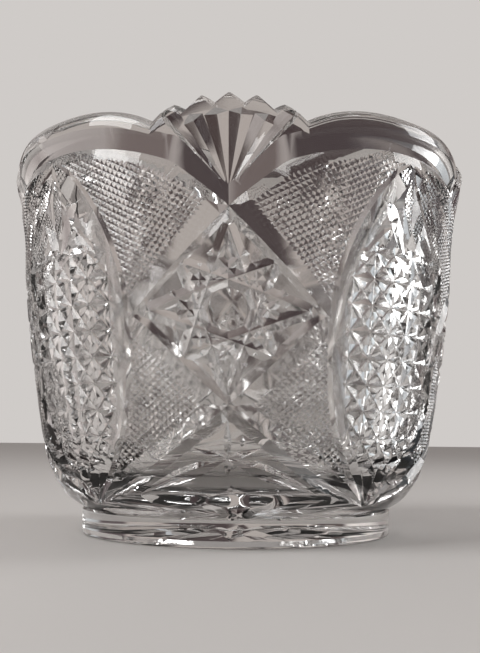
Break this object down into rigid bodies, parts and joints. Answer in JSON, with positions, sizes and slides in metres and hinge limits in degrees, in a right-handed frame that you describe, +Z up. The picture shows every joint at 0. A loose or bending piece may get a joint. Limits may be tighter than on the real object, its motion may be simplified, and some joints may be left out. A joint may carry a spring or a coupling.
{
  "type": "crystal candy dish",
  "caption": "Open round cut-crystal dish on a short foot, with a lobed rim, toothed fans and mitre-cut star panels.",
  "frame": {"origin": "centre of the circle that the foot stands on, in the plane of the table", "axes": "+Z up along the dish's axis, -Y towards the middle of one of the four toothed fans, +X to the right of someone who faces that fan"},
  "size_m": [0.137, 0.137, 0.1112],
  "materials": {
    "crystal": "fire-polished clear lead crystal with bright wheel-cut facets"
  },
  "bodies": {
    "root": {"bowl": "crystal", "foot": "crystal"}
  },
  "joints": []
}
